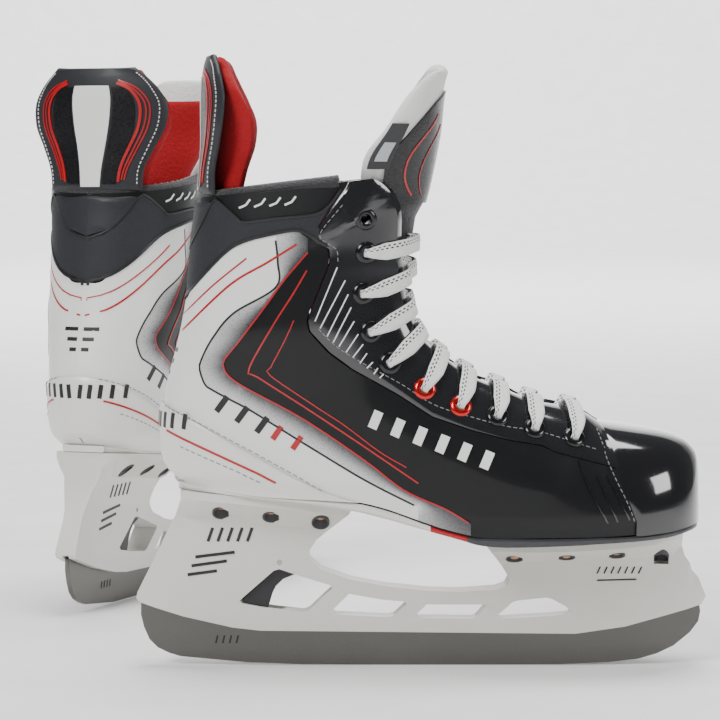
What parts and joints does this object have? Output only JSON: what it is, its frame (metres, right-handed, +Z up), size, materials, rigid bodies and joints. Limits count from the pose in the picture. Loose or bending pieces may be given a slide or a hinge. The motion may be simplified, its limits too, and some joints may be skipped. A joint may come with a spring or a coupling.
{
  "type": "hockey skates",
  "caption": "Pair of lace-up ice hockey skates with stitched boots, moulded blade holders, removable steel runners and sprung release triggers.",
  "frame": {"origin": "centre of the pair's bounding box at the ice, under the runners", "axes": "+Z up; +X the right skate's toe; +Y towards the left skate, which stands behind, turned 67 degrees"},
  "size_m": [0.3804, 0.499, 0.3243],
  "materials": {
    "quarter_film": "satin",
    "eyestay_gloss": "glossy",
    "eyelet_metal": "glossy",
    "heel_white": "satin",
    "toe_gloss": "glossy",
    "sole_plastic": "matte",
    "board": "matte",
    "footbed_foam": "matte",
    "liner_fabric": "matte",
    "tongue_felt_dark": "matte",
    "tongue_felt": "matte",
    "shield_gloss": "glossy",
    "tag_fabric": "matte",
    "guard_plastic": "satin",
    "pad_red": "matte",
    "holder_plastic": "satin",
    "runner_steel": "satin",
    "trigger_plastic": "matte",
    "pin_steel": "satin",
    "rivet_copper": "satin",
    "lace_woven": "matte"
  },
  "bodies": {
    "right_boot": {"right_quarter_lateral": "quarter_film", "right_quarter_medial": "quarter_film", "right_eyestay_lateral": "eyestay_gloss", "right_eyestay_medial": "eyestay_gloss", "right_eyelets_lateral": "eyelet_metal", "right_eyelets_medial": "eyelet_metal", "right_heel_cap": "heel_white", "right_toe_cap": "toe_gloss", "right_outsole": "sole_plastic", "right_insole_board": "board", "right_footbed": "footbed_foam", "right_inner_liner": "liner_fabric", "right_tongue_lower": "tongue_felt_dark", "right_blade_holder": "holder_plastic", "right_trigger_pin": "pin_steel", "right_rivets_rear": "rivet_copper", "right_rivets_front": "rivet_copper", "right_laces": "lace_woven"},
    "right_tongue_top": {"right_tongue_upper": "tongue_felt", "right_tongue_shield": "shield_gloss", "right_tongue_size_tag": "tag_fabric"},
    "right_tendon": {"right_tendon_guard": "guard_plastic", "right_tendon_pad": "pad_red"},
    "right_blade": {"right_runner": "runner_steel"},
    "right_lever": {"right_trigger": "trigger_plastic"},
    "left_boot": {"left_quarter_lateral": "quarter_film", "left_quarter_medial": "quarter_film", "left_eyestay_lateral": "eyestay_gloss", "left_eyestay_medial": "eyestay_gloss", "left_eyelets_lateral": "eyelet_metal", "left_eyelets_medial": "eyelet_metal", "left_heel_cap": "heel_white", "left_toe_cap": "toe_gloss", "left_outsole": "sole_plastic", "left_insole_board": "board", "left_footbed": "footbed_foam", "left_inner_liner": "liner_fabric", "left_tongue_lower": "tongue_felt_dark", "left_blade_holder": "holder_plastic", "left_trigger_pin": "pin_steel", "left_rivets_rear": "rivet_copper", "left_rivets_front": "rivet_copper", "left_laces": "lace_woven"},
    "left_tongue_top": {"left_tongue_upper": "tongue_felt", "left_tongue_shield": "shield_gloss", "left_tongue_size_tag": "tag_fabric"},
    "left_tendon": {"left_tendon_guard": "guard_plastic", "left_tendon_pad": "pad_red"},
    "left_blade": {"left_runner": "runner_steel"},
    "left_lever": {"left_trigger": "trigger_plastic"}
  },
  "joints": [
    {"name": "right_tongue_fold", "type": "hinge", "parent": "right_boot", "child": "right_tongue_top", "pos_m": [0.0402, -0.20235, 0.2486], "axis": [0, 1, 0], "range_deg": [0, 30]},
    {"name": "right_tendon_flex", "type": "hinge", "parent": "right_boot", "child": "right_tendon", "pos_m": [-0.0799, -0.20275, 0.2493], "axis": [0, -1, 0], "range_deg": [0, 12], "stiffness_Nm_per_rad": 3},
    {"name": "right_trigger_pull", "type": "hinge", "parent": "right_boot", "child": "right_lever", "pos_m": [-0.0364, -0.20275, 0.056], "axis": [0, -1, 0], "range_deg": [0, 20], "stiffness_Nm_per_rad": 0.4, "springref_deg": -5.73},
    {"name": "right_runner_drop", "type": "hinge", "parent": "right_boot", "child": "right_blade", "pos_m": [0.1801, -0.20275, 0.048], "axis": [0, -1, 0], "range_deg": [0, 8]},
    {"name": "left_tongue_fold", "type": "hinge", "parent": "left_boot", "child": "left_tongue_top", "pos_m": [-0.10721, 0.10882, 0.2486], "axis": [-0.9205, 0.3907, 0], "range_deg": [0, 30]},
    {"name": "left_tendon_flex", "type": "hinge", "parent": "left_boot", "child": "left_tendon", "pos_m": [-0.1545, -0.00157, 0.2493], "axis": [0.9205, -0.3907, 0], "range_deg": [0, 12], "stiffness_Nm_per_rad": 3},
    {"name": "left_trigger_pull", "type": "hinge", "parent": "left_boot", "child": "left_lever", "pos_m": [-0.13751, 0.03847, 0.056], "axis": [0.9205, -0.3907, 0], "range_deg": [0, 20], "stiffness_Nm_per_rad": 0.4, "springref_deg": -5.73},
    {"name": "left_runner_drop", "type": "hinge", "parent": "left_boot", "child": "left_blade", "pos_m": [-0.05291, 0.23776, 0.048], "axis": [0.9205, -0.3907, 0], "range_deg": [0, 8]},
    {"name": "left_skate_lift", "type": "slide", "parent": "right_boot", "child": "left_boot", "axis": [0, 0, 1], "range_m": [0, 0.4]}
  ]
}
